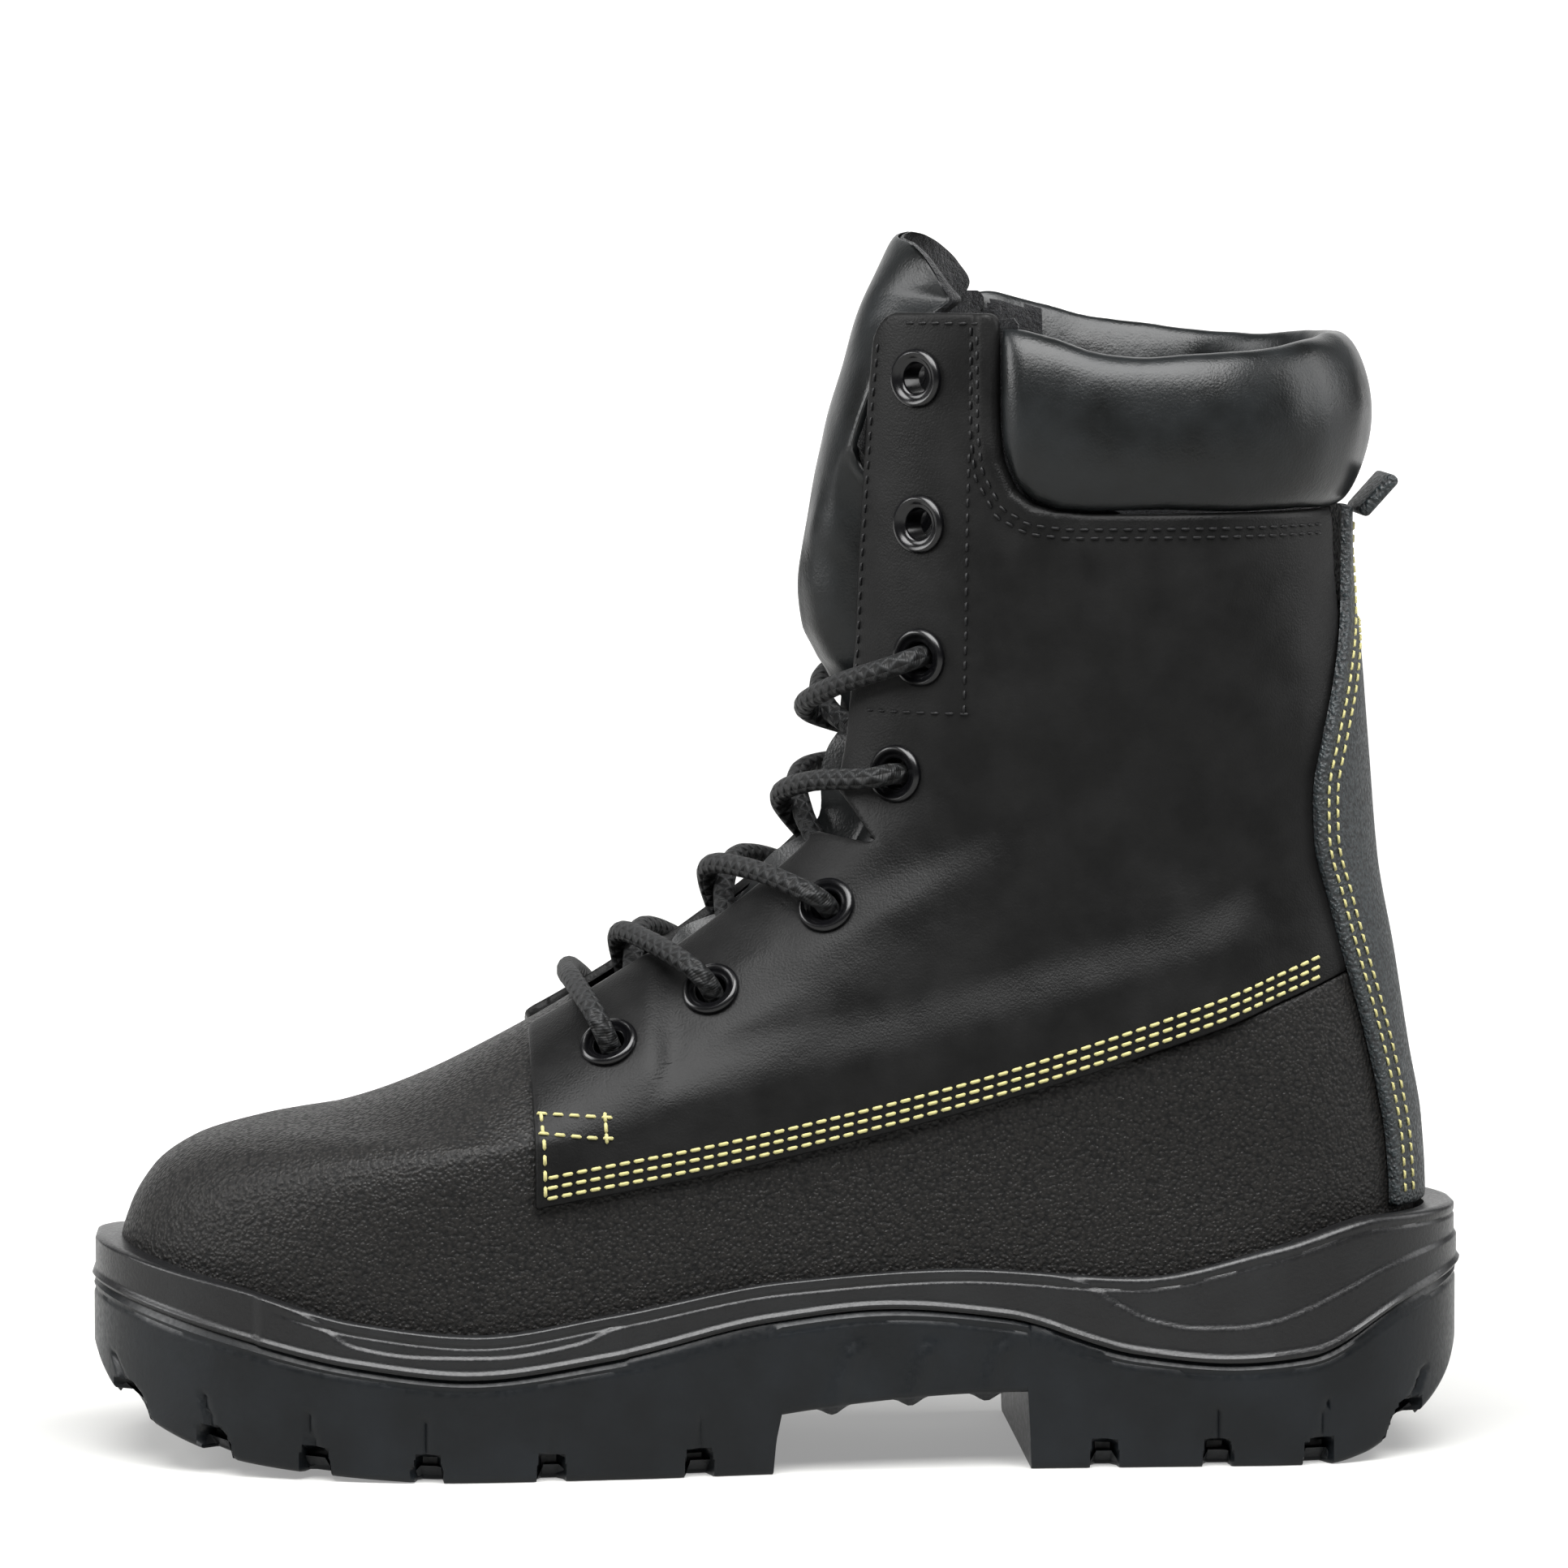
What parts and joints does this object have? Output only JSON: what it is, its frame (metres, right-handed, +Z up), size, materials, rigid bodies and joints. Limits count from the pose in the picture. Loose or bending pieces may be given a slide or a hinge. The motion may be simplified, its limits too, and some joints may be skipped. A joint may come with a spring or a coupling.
{
  "type": "lace-up fire boot",
  "caption": "High-leg lace-up leather safety boot with capped toe, padded collar, folding tongue top, heel pull tab and deep-lugged rubber sole, for the left foot.",
  "frame": {"origin": "on the ground under the middle of the sole: the centre of the underside of the boot's box", "axes": "+Z up, toe to -X and heel to +X, lateral (outer) side to -Y and medial (inner) side to +Y; a left boot"},
  "size_m": [0.31, 0.1128, 0.2745],
  "materials": {
    "outsole_rubber": "satin moulded nitrile rubber",
    "midsole_foam": "matt moulded polyurethane",
    "grained_leather": "pebbled full-grain leather, matt wax",
    "smooth_leather": "smooth full-grain leather, satin",
    "collar_leather": "soft padded leather, semi-gloss",
    "backstay_leather": "finely textured coated leather, satin",
    "tongue_leather": "soft leather over foam, matt",
    "lining_textile": "brushed textile lining",
    "lace_braid": "round braided polyester",
    "thread": "waxed sewing thread",
    "eyelet_enamel": "black gloss enamel over brass",
    "cap_steel": "primed steel",
    "shank_fibre": "fibreglass-reinforced nylon",
    "insole_fibre": "pressed cellulose board",
    "footbed_foam": "textile-covered foam",
    "lace_tip_plastic": "clear-coated acetate"
  },
  "bodies": {
    "boot": {"outsole": "outsole_rubber", "midsole": "midsole_foam", "shank": "shank_fibre", "insole_board": "insole_fibre", "footbed": "footbed_foam", "toe_cap": "cap_steel", "heel_counter": "shank_fibre", "vamp": "grained_leather", "backstay": "backstay_leather", "collar": "collar_leather", "lining": "lining_textile", "tongue_base": "tongue_leather", "quarter_lateral": "smooth_leather", "facing_lateral": "smooth_leather", "eyelet_lateral_1": "eyelet_enamel", "eyelet_washer_lateral_1": "eyelet_enamel", "eyelet_lateral_2": "eyelet_enamel", "eyelet_washer_lateral_2": "eyelet_enamel", "eyelet_lateral_3": "eyelet_enamel", "eyelet_washer_lateral_3": "eyelet_enamel", "eyelet_lateral_4": "eyelet_enamel", "eyelet_washer_lateral_4": "eyelet_enamel", "eyelet_lateral_5": "eyelet_enamel", "eyelet_washer_lateral_5": "eyelet_enamel", "eyelet_lateral_6": "eyelet_enamel", "eyelet_washer_lateral_6": "eyelet_enamel", "eyelet_lateral_7": "eyelet_enamel", "eyelet_washer_lateral_7": "eyelet_enamel", "lace_tip_lateral": "lace_tip_plastic", "quarter_medial": "smooth_leather", "facing_medial": "smooth_leather", "eyelet_medial_1": "eyelet_enamel", "eyelet_washer_medial_1": "eyelet_enamel", "eyelet_medial_2": "eyelet_enamel", "eyelet_washer_medial_2": "eyelet_enamel", "eyelet_medial_3": "eyelet_enamel", "eyelet_washer_medial_3": "eyelet_enamel", "eyelet_medial_4": "eyelet_enamel", "eyelet_washer_medial_4": "eyelet_enamel", "eyelet_medial_5": "eyelet_enamel", "eyelet_washer_medial_5": "eyelet_enamel", "eyelet_medial_6": "eyelet_enamel", "eyelet_washer_medial_6": "eyelet_enamel", "eyelet_medial_7": "eyelet_enamel", "eyelet_washer_medial_7": "eyelet_enamel", "lace_tip_medial": "lace_tip_plastic", "lace": "lace_braid"},
    "tongue_flap": {"tongue_top": "tongue_leather"},
    "heel_tab": {"pull_tab": "backstay_leather"}
  },
  "joints": [
    {"name": "tongue_fold", "type": "hinge", "parent": "boot", "child": "tongue_flap", "pos_m": [0.0192, 0, 0.186], "axis": [0, -1, 0], "range_deg": [-3, 45]},
    {"name": "tab_fold", "type": "hinge", "parent": "boot", "child": "heel_tab", "pos_m": [0.1329, 0, 0.2132], "axis": [0, 1, 0], "range_deg": [0, 85]}
  ]
}
